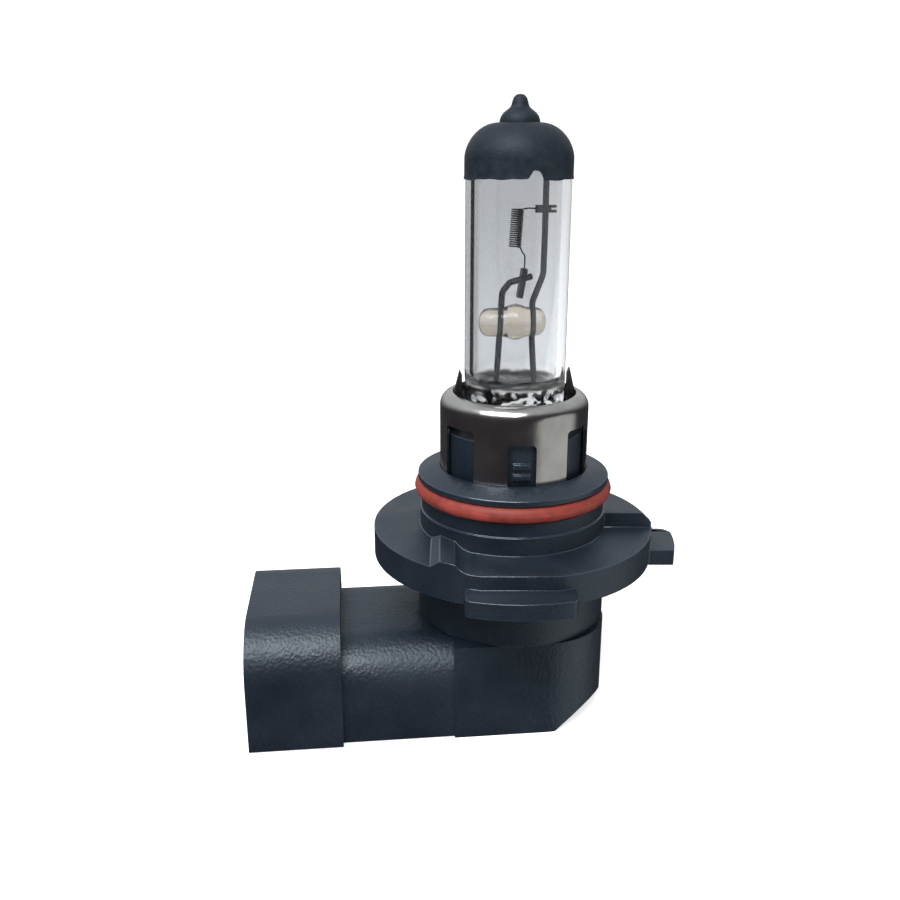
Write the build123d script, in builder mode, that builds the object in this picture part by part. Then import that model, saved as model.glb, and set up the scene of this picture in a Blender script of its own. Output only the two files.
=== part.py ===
"""Halogen headlight bulb: capsule burner, plated holder, twist-lock base and right-angle connector.

Millimetres. The lamp axis is +Z with the tip up. The origin is on that axis, at the top face of the
flange, which is the plane that seats in the lamp. The connector points along -X.
"""
from build123d import *
import os
from math import cos, radians, sin

os.makedirs("parts", exist_ok=True)

# ---------------------------------------------------------------- driving dimensions
# glass envelope
tube_r = 5.68            # outer radius of the tube
tube_wall = 1.0
dome_z = 41.0            # where the tube turns into the dome
shoulder_r = 3.48        # radius of the dome's shoulder
tip_height = 2.8         # drawn tip above the dome
tip_spline = ((0.53, 0.47), (0.36, 0.70))  # the tip's flanks, as shares of its foot and height
roof_drop = 0.6          # from the dome's start down to the cavity's rounded roof
roof_r = 2.9
cavity_floor_r = 2.0
pinch_inset = 0.68       # how far the pinch's ends lie inside the tube
pinch_depth = 3.2        # along Y
pinch_bottom_z = 4.6
pinch_corner_r = 0.96

# coating
coat = 0.12              # its thickness
coat_skirt = 2.0         # how far it reaches down the tube below the dome

# burner wires
wire_r = 0.35
foil_width = 2.4
foil_thickness = 0.06
foil_bottom_z = 6.0
long_wire_x = 2.25       # where it enters the pinch
short_wire_x = -2.1
long_wire_wall_gap = 1.63  # from its upper straight run to the cavity's wall
wire_bend_r = 0.9
wire_rise = 4.4          # straight run above the pinch

# filament
coil_r = 0.62            # to the middle of the wire
coil_wire_r = 0.08
coil_turns = 18
coil_pitch = 0.227
coil_bottom = (-0.27, 31.8)
coil_lean = 3.5          # degrees, the top leans to +X
lower_leg_x = 0.87
lower_leg_drop = 0.8     # from the coil down to the leg's bend
lower_leg_bend_r = 0.3
leg_end_z = 29.0
leg_grip = 0.5           # how far a leg runs into the upper clamp

# clamps
clamp_wall = 0.2
clamp_height = 0.8
upper_clamp_length = 2.45
clamp_wall_gap = 0.33    # from the upper clamp's end to the cavity's wall
lower_clamp_size = (0.62, 3.2)
lower_clamp_centre = (0.6, 27.95)
lower_clamp_tilt = 9.0
prong_slit = 0.2
prong_length = 0.7

# bridge bead
bead_r = 1.6
bead_wall_gap = (0.53, 1.28)  # from its left and right ends to the cavity's wall
bead_z = 23.7
bead_swell = 1.85        # radius of the swelling in its middle

# holder cup
cup_gap = 2.77           # from the tube to the cup's outer face
cup_wall = 0.35
cup_top_z = 15.8
cup_shoulder_r = 1.5
cup_mouth_gap = 1.32     # from the tube to the cup's mouth
cup_clocking = -3.0      # degrees about +Z
window_bottom_z = 4.0
wide_window = 4.45
wide_window_drop = 3.0   # from the cup's top to the window's top
wide_window_step = 52.5  # degrees either side of the narrow one
narrow_window = 3.1
narrow_window_drop = 4.05
window_corner_r = 0.5

# pinch clip
clip_wall = 0.3
clip_bottom_z = 5.6
clip_drop = 3.4          # from the cup's top to the clip's top
finger_gap = (0.32, 1.17)  # from the tube to a finger's inner and outer edges
finger_rise = 2.6        # from the cup's top to a finger's tip
finger_slope = 2.4       # height of the finger's sloping outer edge
finger_tip = (0.25, 0.6)  # the tip's place from the inner edge, and its inner slope
clip_wing_gap = 0.05     # from the wing's end to the cup

# base housing
ring_step = 2.55         # radii beyond the cup: ring above the O-ring,
collar_top_step = 0.88   # the collar's upper rim,
collar_reach = 2.15      # the collar,
groove_floor_step = 1.05  # and the floor of its groove
ring_bottom_z = 5.75
ring_top_z = 6.36
collar_top_z = 7.23
collar_step = 0.2
collar_step_z = 2.1
groove_bottom_z = 3.7
flange_r = 16.25
flange_thickness = 3.46
neck_r = 11.05
seam_z = -10.8
neck_wall = 2.15
spigot_step = 1.45       # how far the spigot is set in from the neck
spigot_length = 1.8
floor_top_z = 1.0
floor_bottom_z = -1.6
tower_gap = 0.2          # from the tower to the cup
tower_bore_gap = 0.6     # from the clip to the tower's bore
tower_drop = 4.1         # from the cup's top to the tower's top
fit_gap = 0.05           # between pieces that slide together
lead_gap = 0.15          # around a lead that passes a hole
wing_slot = 1.6          # width of the tower's slots for the clip's wings
nub_size = 1.9
nub_reach = 0.35
nub_drops = (3.65, 2.45)  # from the narrow window's top down to each nub
nub_height = 0.6

# twist-lock lugs and ribs on the flange, in a frame turned about +Z
lug_clocking = -6.0
lug_reach = 2.75         # beyond the flange
lug_thickness = 1.86
front_lug_width = 11.6
side_lug_y = (-5.3, 3.5)
side_lug_ramp = (3.2, 0.9)
rear_lug_width = 8.0
lug_corner_r = 0.8
front_flat_depth = 0.5   # how far the front flat is cut into the flange
stop_rib_y = (-2.3, -1.3)
stop_rib_height = 1.8
stop_rib_chamfer = 1.2
stop_rib_inset = 0.15    # from its outer end to the flange's rim
land_x = (-9.4, -4.6)    # raised land on the flange
land_height = 0.85
land_ramp = 1.0
land_top = 1.6
land_round_r = 2.4

# O-ring
oring_section_r = 0.95

# connector housing
bottom_z = -22.2
elbow_inset = 0.45       # how far the elbow's flat sides lie inside the neck's round
elbow_corner_r = 8.0     # of its two rounded corners
elbow_face_x = -7.9
facet_azimuth = 38.0     # of the facets under the elbow's corners, from +X
facet_inset = 1.2        # from the elbow's half width in to a facet's lower edge
facet_slope = 1.2
barrel_inset = 0.1       # how far the barrel's sides lie inside the elbow's
barrel_corner_r = 5.5
hood_step = 0.8          # how far the hood's sides stand out from the barrel's
hood_rise = 2.7          # and its top above the barrel's
hood_corner_r = 6.0
hood_back_x = -20.5
hood_mouth_x = -31.0
foot_corner_r = 0.4
run_in = 1.0             # how far the barrel runs into the elbow and the hood
shell_wall = 1.6
socket_step_back = 1.2   # from the hood's back to the step inside it
socket_end_x = -14.0

# terminals
blade_width = 2.8
blade_thickness = 0.8
blade_y = 4.5
blade_rise = 5.7         # above the connector's underside
blade_set_back = 4.0     # from the mouth to the blades' tips
blade_point = 0.28       # chamfer at the tip
tab_z = -8.0
tab_overhang = 1.3
lead_bottom_z = -9.4
compound_rise = 8.0      # depth of the sealing compound with the housing's wall

# ---------------------------------------------------------------- values that follow
cavity_r = tube_r - tube_wall
coat_rim_z = dome_z - coat_skirt
neck_in_z = cup_top_z    # where the tube starts to narrow to the pinch
cavity_floor_z = cup_top_z + tube_wall
pinch_top_z = cup_top_z - 3.0
pinch_length = 2 * (tube_r - pinch_inset)
foil_top_z = pinch_top_z - 0.8
foil_centre_z = (foil_top_z + foil_bottom_z) / 2
long_wire_top_z = dome_z + 0.3
long_wire_gap_x = cavity_r - long_wire_wall_gap
upper_clamp_end_x = cavity_r - clamp_wall_gap
upper_clamp_x = (upper_clamp_end_x - upper_clamp_length, upper_clamp_end_x)
bead_x = (bead_wall_gap[0] - cavity_r, cavity_r - bead_wall_gap[1])
cup_r = tube_r + cup_gap
cup_mouth_r = tube_r + cup_mouth_gap
cup_inner_r = cup_r - cup_wall
wide_window_top_z = cup_top_z - wide_window_drop
narrow_window_top_z = cup_top_z - narrow_window_drop
clip_top_z = cup_top_z - clip_drop
clip_finger_x = (tube_r + finger_gap[0], tube_r + finger_gap[1])
clip_finger_top_z = cup_top_z + finger_rise
ring_r = cup_r + ring_step
collar_top_r = cup_r + collar_top_step
collar_r = cup_r + collar_reach
groove_floor_r = cup_r + groove_floor_step
oring_r = groove_floor_r + oring_section_r
oring_z = (groove_bottom_z + ring_bottom_z) / 2
tower_r = cup_inner_r - tower_gap
tower_bore_r = pinch_length / 2 + clip_wall + tower_bore_gap
tower_top_z = cup_top_z - tower_drop
housing_bore_r = neck_r - neck_wall
spigot_r = neck_r - spigot_step
lug_r = flange_r + lug_reach
lug_top_z = lug_thickness - flange_thickness
front_flat_y = flange_r - front_flat_depth
lug_frame = Plane.XY.rotated((0, 0, lug_clocking))
elbow_half_width = neck_r - elbow_inset
facet_start = elbow_half_width - facet_inset
barrel_half_width = elbow_half_width - barrel_inset
hood_half_width = barrel_half_width + hood_step
hood_top_z = seam_z + hood_rise
socket_step_x = hood_back_x - socket_step_back
blade_z = bottom_z + blade_rise
blade_tip_x = hood_mouth_x + blade_set_back
compound_top_z = bottom_z + compound_rise


def envelope_outline(grow):
    """Half section of the domed tube down to neck_in_z, grown outwards by grow."""
    radius = tube_r + grow
    shoulder = shoulder_r + grow
    dome_r = radius - shoulder
    top = dome_z + shoulder
    tip = top + tip_height
    with BuildSketch(Plane.XZ) as section:
        with BuildLine():
            Line((0, neck_in_z), (radius, neck_in_z))
            Line((radius, neck_in_z), (radius, dome_z))
            RadiusArc((radius, dome_z), (dome_r, top), -shoulder)
            Spline(
                (dome_r, top),
                *((dome_r * out + grow / 2, top + tip_height * up) for out, up in tip_spline),
                (0, tip),
                tangents=[(-0.75, 1), (-1, 0)],
            )
            Line((0, tip), (0, neck_in_z))
        make_face()
    return section.sketch


def facing(azimuth, z):
    """Plane on the lamp axis at height z whose normal points out at azimuth, from -Y towards +X."""
    turn = radians(azimuth)
    return Plane(origin=(0, 0, z), x_dir=(cos(turn), sin(turn), 0), z_dir=(sin(turn), -cos(turn), 0))


# ---------------------------------------------------------------- burner wires
long_points = [
    (long_wire_x, 0, foil_top_z),
    (long_wire_x, 0, foil_top_z + wire_rise),
    (1.88, 0, 21.5),
    (1.83, 0, 25.9),
    (3.0, 0, 28.9),
    (long_wire_gap_x, 0, 33.0),
    (long_wire_gap_x, 0, long_wire_top_z),
]
with BuildPart() as long_support_wire:
    with BuildLine() as long_route:
        FilletPolyline(*long_points, radius=wire_bend_r)
    with BuildSketch(Plane(origin=long_route.line @ 0, z_dir=long_route.line % 0)):
        Circle(wire_r)
    sweep()

short_points = [
    (short_wire_x, 0, foil_top_z),
    (short_wire_x, 0, foil_top_z + wire_rise),
    (-1.82, 0, 21.9),
    (-1.57, 0, 27.0),
    (-0.75, 0, 28.05),
    (1.6, 0, 28.65),
]
with BuildPart() as short_support_wire:
    with BuildLine() as short_route:
        FilletPolyline(*short_points, radius=wire_bend_r / 2)
    with BuildSketch(Plane(origin=short_route.line @ 0, z_dir=short_route.line % 0)):
        Circle(wire_r)
    sweep()

# ---------------------------------------------------------------- filament
lean = radians(coil_lean)
coil_height = coil_turns * coil_pitch
with BuildPart() as filament:
    with BuildLine() as turns:
        Helix(
            coil_pitch,
            coil_height,
            coil_r,
            center=(coil_bottom[0], 0, coil_bottom[1]),
            direction=(sin(lean), 0, cos(lean)),
        )
    with BuildSketch(Plane(origin=turns.line @ 0, z_dir=turns.line % 0)):
        Circle(coil_wire_r)
    sweep(is_frenet=True)
    coil_start = turns.line @ 0
    coil_end = turns.line @ 1
    upper_clamp_z = coil_end.Z
    overrun = Vector(coil_wire_r, 0, 0)  # a leg starts inside the coil's wire
    with BuildLine() as top_leg:
        Line(coil_end - overrun, (upper_clamp_x[0] + leg_grip, 0, upper_clamp_z))
    with BuildSketch(Plane(origin=top_leg.line @ 0, z_dir=top_leg.line % 0)):
        Circle(coil_wire_r)
    sweep()
    with BuildLine() as bottom_leg:
        FilletPolyline(
            coil_start - overrun,
            (lower_leg_x, 0, coil_start.Z - lower_leg_drop),
            (lower_leg_x, 0, leg_end_z),
            radius=lower_leg_bend_r,
        )
    with BuildSketch(Plane(origin=bottom_leg.line @ 0, z_dir=bottom_leg.line % 0)):
        Circle(coil_wire_r)
    sweep()

# ---------------------------------------------------------------- clamps
clamp_length = upper_clamp_x[1] - upper_clamp_x[0]
clamp_middle_x = (upper_clamp_x[0] + upper_clamp_x[1]) / 2
with BuildPart() as upper_clamp:
    with BuildSketch(Plane.XY.offset(upper_clamp_z - clamp_height / 2)):
        with Locations((clamp_middle_x, 0)):
            RectangleRounded(clamp_length, 3 * clamp_wall, clamp_wall)
        with Locations((long_wire_gap_x, 0)):
            Circle(wire_r + clamp_wall)
    extrude(amount=clamp_height)
    with BuildSketch(Plane.XZ.offset(-wire_r - clamp_wall)):
        with Locations((upper_clamp_x[1], upper_clamp_z)):
            Rectangle(2 * prong_length, prong_slit)
    extrude(amount=2 * (wire_r + clamp_wall), mode=Mode.SUBTRACT)
    add(long_support_wire.part, mode=Mode.SUBTRACT)
    add(filament.part, mode=Mode.SUBTRACT)

with BuildPart() as lower_clamp:
    with BuildSketch(Plane.XZ.offset(-wire_r - clamp_wall)):
        with Locations(Location(lower_clamp_centre, -lower_clamp_tilt)):
            Rectangle(*lower_clamp_size)
    extrude(amount=2 * (wire_r + clamp_wall))
    add(short_support_wire.part, mode=Mode.SUBTRACT)
    add(filament.part, mode=Mode.SUBTRACT)

# ---------------------------------------------------------------- bridge bead
bead_length = bead_x[1] - bead_x[0]
with BuildPart() as bridge_bead:
    with BuildSketch(Plane.YZ.offset(bead_x[0])):
        with Locations((0, bead_z)):
            Circle(bead_r)
    extrude(amount=bead_length)
    fillet(bridge_bead.edges(), radius=bead_r * 0.9)
    with Locations((0, 0, bead_z)):
        Sphere(bead_swell)
    add(long_support_wire.part, mode=Mode.SUBTRACT)
    add(short_support_wire.part, mode=Mode.SUBTRACT)

# ---------------------------------------------------------------- press-seal foils and outer leads
foils = {}
leads = {}
for side, x in (("left", short_wire_x), ("right", long_wire_x)):
    with BuildPart() as foil:
        with Locations((x, 0, foil_centre_z)):
            Box(foil_width, foil_thickness, foil_top_z - foil_bottom_z)
    foils[side] = foil.part
    with BuildPart() as lead:
        with BuildSketch(Plane.XY.offset(lead_bottom_z)):
            with Locations((x, 0)):
                Circle(wire_r)
        extrude(amount=foil_bottom_z - lead_bottom_z)
    leads[side] = lead.part

# ---------------------------------------------------------------- glass envelope and its coating
with BuildPart() as glass_envelope:
    add(envelope_outline(0))
    revolve(axis=Axis.Z)
    with BuildSketch(Plane.XY.offset(neck_in_z)):
        Circle(tube_r)
    with BuildSketch(Plane.XY.offset(pinch_top_z)):
        RectangleRounded(pinch_length, pinch_depth, pinch_corner_r)
    loft()
    with BuildSketch(Plane.XY.offset(pinch_bottom_z)):
        RectangleRounded(pinch_length, pinch_depth, pinch_corner_r)
    extrude(amount=pinch_top_z - pinch_bottom_z)
    with BuildSketch(Plane.XZ):
        with BuildLine():
            floor_x = cavity_r - cavity_floor_r
            floor_arc = (cavity_r, cavity_floor_z + cavity_floor_r)
            roof_arc = (cavity_r, dome_z - roof_drop)
            roof_top = (cavity_r - roof_r, roof_arc[1] + roof_r)
            Line((0, cavity_floor_z), (floor_x, cavity_floor_z))
            RadiusArc((floor_x, cavity_floor_z), floor_arc, -cavity_floor_r)
            Line(floor_arc, roof_arc)
            RadiusArc(roof_arc, roof_top, -roof_r)
            Line(roof_top, (0, roof_top[1]))
            Line((0, roof_top[1]), (0, cavity_floor_z))
        make_face()
    revolve(axis=Axis.Z, mode=Mode.SUBTRACT)
    for sealed in (long_support_wire.part, short_support_wire.part, *foils.values(), *leads.values()):
        add(sealed, mode=Mode.SUBTRACT)

with BuildPart() as antiglare_cap:
    add(envelope_outline(coat))
    revolve(axis=Axis.Z)
    add(envelope_outline(0))
    revolve(axis=Axis.Z, mode=Mode.SUBTRACT)
    split(bisect_by=Plane.XY.offset(coat_rim_z), keep=Keep.TOP)

# ---------------------------------------------------------------- pinch clip, two mirrored halves
plate_y = pinch_depth / 2
plate_half = pinch_length / 2 + clip_wall
wing_end_x = cup_inner_r - clip_wing_gap
with BuildPart() as pinch_clip_front:
    with BuildSketch(Plane.XY.offset(clip_bottom_z)):
        with Locations((0, -plate_y - clip_wall / 2)):
            Rectangle(2 * plate_half, clip_wall)
        for sign in (-1, 1):
            with Locations((sign * (plate_half - clip_wall / 2), -(plate_y + clip_wall) / 2)):
                Rectangle(clip_wall, plate_y + clip_wall)
            with Locations((sign * (plate_half - clip_wall + wing_end_x) / 2, -clip_wall / 2)):
                Rectangle(wing_end_x - plate_half + clip_wall, clip_wall)
    extrude(amount=clip_top_z - clip_bottom_z)
    with BuildSketch(Plane.XZ):
        for sign in (-1, 1):
            near_x = sign * clip_finger_x[0]
            far_x = sign * clip_finger_x[1]
            with BuildLine():
                Polyline(
                    (near_x, clip_top_z),
                    (far_x, clip_top_z),
                    (far_x, clip_finger_top_z - finger_slope),
                    (near_x + sign * finger_tip[0], clip_finger_top_z),
                    (near_x, clip_finger_top_z - finger_tip[1]),
                    close=True,
                )
            make_face()
    extrude(amount=clip_wall)
with BuildPart() as pinch_clip_back:
    add(pinch_clip_front.part)
    mirror(about=Plane.XZ, mode=Mode.REPLACE)

# ---------------------------------------------------------------- holder cup
with BuildPart() as holder_cup:
    with BuildSketch(Plane.XY.offset(floor_top_z)):
        Circle(cup_r)
    extrude(amount=cup_top_z - floor_top_z)
    fillet(holder_cup.edges().group_by(Axis.Z)[-1], radius=cup_shoulder_r)
    with BuildPart(mode=Mode.PRIVATE) as cup_hollow:
        with BuildSketch(Plane.XY.offset(floor_top_z)):
            Circle(cup_inner_r)
        extrude(amount=cup_top_z - cup_wall - floor_top_z)
        fillet(cup_hollow.edges().group_by(Axis.Z)[-1], radius=cup_shoulder_r - cup_wall)
    add(cup_hollow.part, mode=Mode.SUBTRACT)
    with BuildSketch(Plane.XY.offset(floor_top_z)):
        Circle(cup_mouth_r)
    extrude(amount=cup_top_z, mode=Mode.SUBTRACT)
    for half_turn in (0, 180):
        for step, width, top_z in (
            (-wide_window_step, wide_window, wide_window_top_z),
            (0, narrow_window, narrow_window_top_z),
            (wide_window_step, wide_window, wide_window_top_z),
        ):
            height = top_z - window_bottom_z
            with BuildSketch(facing(cup_clocking + half_turn + step, window_bottom_z + height / 2)):
                RectangleRounded(width, height, window_corner_r)
            extrude(amount=2 * cup_r, mode=Mode.SUBTRACT)

# ---------------------------------------------------------------- base housing
with BuildPart() as base_housing:
    with BuildSketch(Plane.XZ):
        with BuildLine():
            Polyline(
                (0, floor_bottom_z),
                (housing_bore_r, floor_bottom_z),
                (housing_bore_r, seam_z - spigot_length),
                (spigot_r, seam_z - spigot_length),
                (spigot_r, seam_z),
                (neck_r, seam_z),
                (neck_r, -flange_thickness),
                (flange_r, -flange_thickness),
                (flange_r, 0),
                (collar_r + collar_step, 0),
                (collar_r + collar_step, collar_step_z),
                (collar_r, collar_step_z),
                (collar_r, groove_bottom_z),
                (groove_floor_r, groove_bottom_z),
                (groove_floor_r, ring_bottom_z),
                (ring_r, ring_bottom_z),
                (ring_r, ring_top_z),
                (collar_top_r, collar_top_z),
                (cup_r + fit_gap, collar_top_z),
                (cup_r + fit_gap, floor_top_z),
                (tower_r, floor_top_z),
                (tower_r, tower_top_z),
                (tower_bore_r, tower_top_z),
                (tower_bore_r, floor_top_z),
                (0, floor_top_z),
                close=True,
            )
        make_face()
    revolve(axis=Axis.Z)
    # slots in the tower for the clip's wings
    with BuildSketch(Plane.XY.offset(floor_top_z)):
        Rectangle(2 * tower_r, wing_slot)
    extrude(amount=tower_top_z, mode=Mode.SUBTRACT)
    # latch nubs on the tower, inside the narrow windows
    for half_turn in (0, 180):
        for drop in nub_drops:
            with BuildSketch(facing(cup_clocking + half_turn, narrow_window_top_z - drop)):
                Rectangle(nub_size, nub_height)
            extrude(amount=tower_r + nub_reach)
    with BuildSketch(Plane.XY.offset(floor_top_z)):
        Circle(tower_bore_r)
    extrude(amount=tower_top_z, mode=Mode.SUBTRACT)
    # holes for the outer leads
    with BuildSketch(Plane.XY.offset(floor_bottom_z)):
        with Locations((short_wire_x, 0), (long_wire_x, 0)):
            Circle(wire_r + lead_gap)
    extrude(amount=floor_top_z - floor_bottom_z, mode=Mode.SUBTRACT)
    # twist-lock lugs
    with BuildSketch(lug_frame.offset(-flange_thickness)) as lugs:
        with Locations((0, -lug_r)):
            Rectangle(front_lug_width, 2 * (lug_reach + run_in))
        with Locations((0, lug_r)):
            Rectangle(rear_lug_width, 2 * (lug_reach + run_in))
        with Locations((lug_r, (side_lug_y[0] + side_lug_y[1]) / 2)):
            Rectangle(2 * (lug_reach + run_in), side_lug_y[1] - side_lug_y[0])
        Circle(lug_r, mode=Mode.INTERSECT)
        fillet(lugs.vertices().filter_by(lambda v: v.center().length > lug_r), radius=lug_corner_r)
    extrude(amount=lug_thickness)
    # lead-in ramp on the side lug
    ramp_plane = Plane(
        origin=lug_frame.from_local_coords((flange_r, side_lug_y[1], lug_top_z)),
        x_dir=lug_frame.y_dir,
        z_dir=lug_frame.x_dir,
    )
    with BuildSketch(ramp_plane):
        with BuildLine():
            Polyline((0, 0), (-side_lug_ramp[0], 0), (0, -side_lug_ramp[1]), close=True)
        make_face()
    extrude(amount=lug_r, mode=Mode.SUBTRACT)
    # flat on the flange above the front lug
    with BuildSketch(lug_frame.offset(lug_top_z)):
        with Locations((0, -front_flat_y - flange_r / 2)):
            Rectangle(flange_r, flange_r)
    extrude(amount=-lug_top_z, mode=Mode.SUBTRACT)
    # stop rib from the collar to the rim
    rib_plane = Plane(
        origin=lug_frame.from_local_coords((0, stop_rib_y[1], 0)),
        x_dir=lug_frame.x_dir,
        z_dir=-lug_frame.y_dir,
    )
    rib_start = collar_r - run_in
    rib_end = flange_r - stop_rib_inset
    with BuildSketch(rib_plane):
        with BuildLine():
            Polyline(
                (rib_start, 0),
                (rib_end, 0),
                (rib_end, stop_rib_height - stop_rib_chamfer),
                (rib_end - stop_rib_chamfer, stop_rib_height),
                (rib_start, stop_rib_height),
                close=True,
            )
        make_face()
    extrude(amount=stop_rib_y[1] - stop_rib_y[0])

# raised land with a ramp on the flange, trimmed to the rim
with BuildPart() as land:
    land_plane = Plane(origin=(0, 0, 0), x_dir=lug_frame.x_dir, z_dir=-lug_frame.y_dir)
    with BuildSketch(land_plane):
        with BuildLine():
            Polyline(
                (land_x[1], 0),
                (land_x[0], 0),
                (land_x[0] + land_ramp, land_height),
                (land_x[0] + land_ramp + land_top, land_height),
            )
            RadiusArc((land_x[0] + land_ramp + land_top, land_height), (land_x[1], 0), -land_round_r)
        make_face()
    extrude(amount=flange_r)
    with BuildSketch(Plane.XY):
        Circle(flange_r)
    extrude(amount=land_height, mode=Mode.INTERSECT)
    with BuildSketch(Plane.XY):
        Circle(collar_r)
    extrude(amount=land_height, mode=Mode.SUBTRACT)
with base_housing:
    add(land.part)

# ---------------------------------------------------------------- O-ring
with BuildPart() as o_ring:
    with Locations((0, 0, oring_z)):
        Torus(oring_r, oring_section_r)

# ---------------------------------------------------------------- terminals
lead_at = {"left": short_wire_x, "right": long_wire_x}
blade_at = {"left": -blade_y, "right": blade_y}
terminals = {}
for side in ("left", "right"):
    x = lead_at[side]
    y = blade_at[side]
    toward_axis = 1 if y < 0 else -1
    riser_x = x + blade_width / 2
    with BuildPart() as terminal:
        # blade along X
        with BuildSketch(Plane.YZ.offset(blade_tip_x)):
            with Locations((y, blade_z)):
                Rectangle(blade_width, blade_thickness)
        extrude(amount=riser_x - blade_tip_x)
        chamfer(terminal.edges().group_by(Axis.X)[0], length=blade_point)
        # riser
        with BuildSketch(Plane.XY.offset(blade_z - blade_thickness / 2)):
            with Locations((riser_x - blade_thickness / 2, y)):
                Rectangle(blade_thickness, blade_width)
        extrude(amount=tab_z - blade_z + blade_thickness)
        # tab that the lead passes through
        tab_length = blade_y + blade_width / 2 + tab_overhang
        with BuildSketch(Plane.XY.offset(tab_z - blade_thickness / 2)):
            with Locations((x, y - toward_axis * blade_width / 2 + toward_axis * tab_length / 2)):
                Rectangle(blade_width, tab_length)
        extrude(amount=blade_thickness)
        add(leads[side], mode=Mode.SUBTRACT)
    terminals[side] = terminal.part

# ---------------------------------------------------------------- connector housing


def shell_section(half_width, top_z, low_z, top_r, low_r, x):
    """Section across the connector at x: round upper corners, nearly square lower ones."""
    with BuildSketch(Plane.YZ.offset(x)) as section:
        with Locations((0, (top_z + low_z) / 2)):
            Rectangle(2 * half_width, top_z - low_z)
        fillet(section.vertices().group_by(Axis.Y)[-1], radius=top_r)
        fillet(section.vertices().group_by(Axis.Y)[0], radius=low_r)
    return section.sketch


inner_low_z = bottom_z + shell_wall
with BuildPart() as connector_housing:
    # elbow
    with BuildSketch(Plane.XY.offset(bottom_z)) as elbow_plan:
        with Locations(((elbow_half_width + elbow_face_x) / 2, 0)):
            Rectangle(elbow_half_width - elbow_face_x, 2 * elbow_half_width)
        fillet(elbow_plan.vertices().group_by(Axis.X)[-1], radius=elbow_corner_r)
    extrude(amount=seam_z - bottom_z)
    # barrel and hood
    barrel_start_x = elbow_face_x + run_in
    extrude(
        shell_section(barrel_half_width, seam_z, bottom_z, barrel_corner_r, foot_corner_r, barrel_start_x),
        amount=hood_back_x - run_in - barrel_start_x,
    )
    extrude(
        shell_section(hood_half_width, hood_top_z, bottom_z, hood_corner_r, foot_corner_r, hood_back_x),
        amount=hood_mouth_x - hood_back_x,
    )
    # sloping facets under both rounded corners
    for azimuth in (-facet_azimuth, facet_azimuth):
        turn = radians(azimuth)
        across = Plane(origin=(0, 0, bottom_z), x_dir=(cos(turn), sin(turn), 0), z_dir=(sin(turn), -cos(turn), 0))
        with BuildSketch(across):
            with BuildLine():
                Polyline(
                    (facet_start, 0),
                    (facet_start + elbow_half_width, 0),
                    (facet_start + elbow_half_width, elbow_half_width * facet_slope),
                    close=True,
                )
            make_face()
        extrude(amount=elbow_half_width, both=True, mode=Mode.SUBTRACT)
    # well for the terminals, with the seat of the spigot
    with BuildSketch(Plane.XY.offset(inner_low_z)):
        Circle(housing_bore_r)
    extrude(amount=seam_z - inner_low_z, mode=Mode.SUBTRACT)
    with BuildSketch(Plane.XY.offset(seam_z)):
        Circle(spigot_r + fit_gap)
    extrude(amount=-spigot_length, mode=Mode.SUBTRACT)
    # socket
    extrude(
        shell_section(
            barrel_half_width - shell_wall,
            seam_z - shell_wall,
            inner_low_z,
            barrel_corner_r - shell_wall,
            foot_corner_r,
            socket_end_x,
        ),
        amount=hood_mouth_x - socket_end_x,
        mode=Mode.SUBTRACT,
    )
    extrude(
        shell_section(
            hood_half_width - shell_wall,
            hood_top_z - shell_wall,
            inner_low_z,
            hood_corner_r - shell_wall,
            foot_corner_r,
            socket_step_x,
        ),
        amount=hood_mouth_x - socket_step_x,
        mode=Mode.SUBTRACT,
    )
    for terminal_part in terminals.values():
        add(terminal_part, mode=Mode.SUBTRACT)

# ---------------------------------------------------------------- sealing compound
with BuildPart() as sealing_compound:
    with BuildSketch(Plane.XY.offset(inner_low_z)):
        Circle(housing_bore_r)
    extrude(amount=compound_top_z - inner_low_z)
    for terminal_part in terminals.values():
        add(terminal_part, mode=Mode.SUBTRACT)

# ---------------------------------------------------------------- labels and files
pieces = {
    "glass_envelope": glass_envelope.part,
    "antiglare_cap": antiglare_cap.part,
    "filament": filament.part,
    "upper_clamp": upper_clamp.part,
    "lower_clamp": lower_clamp.part,
    "long_support_wire": long_support_wire.part,
    "short_support_wire": short_support_wire.part,
    "bridge_bead": bridge_bead.part,
    "seal_foil_left": foils["left"],
    "seal_foil_right": foils["right"],
    "outer_lead_left": leads["left"],
    "outer_lead_right": leads["right"],
    "pinch_clip_front": pinch_clip_front.part,
    "pinch_clip_back": pinch_clip_back.part,
    "holder_cup": holder_cup.part,
    "base_housing": base_housing.part,
    "o_ring": o_ring.part,
    "connector_housing": connector_housing.part,
    "terminal_left": terminals["left"],
    "terminal_right": terminals["right"],
    "sealing_compound": sealing_compound.part,
}
for name, piece in pieces.items():
    piece.label = name
    export_step(piece, f"parts/{name}.step")
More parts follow.
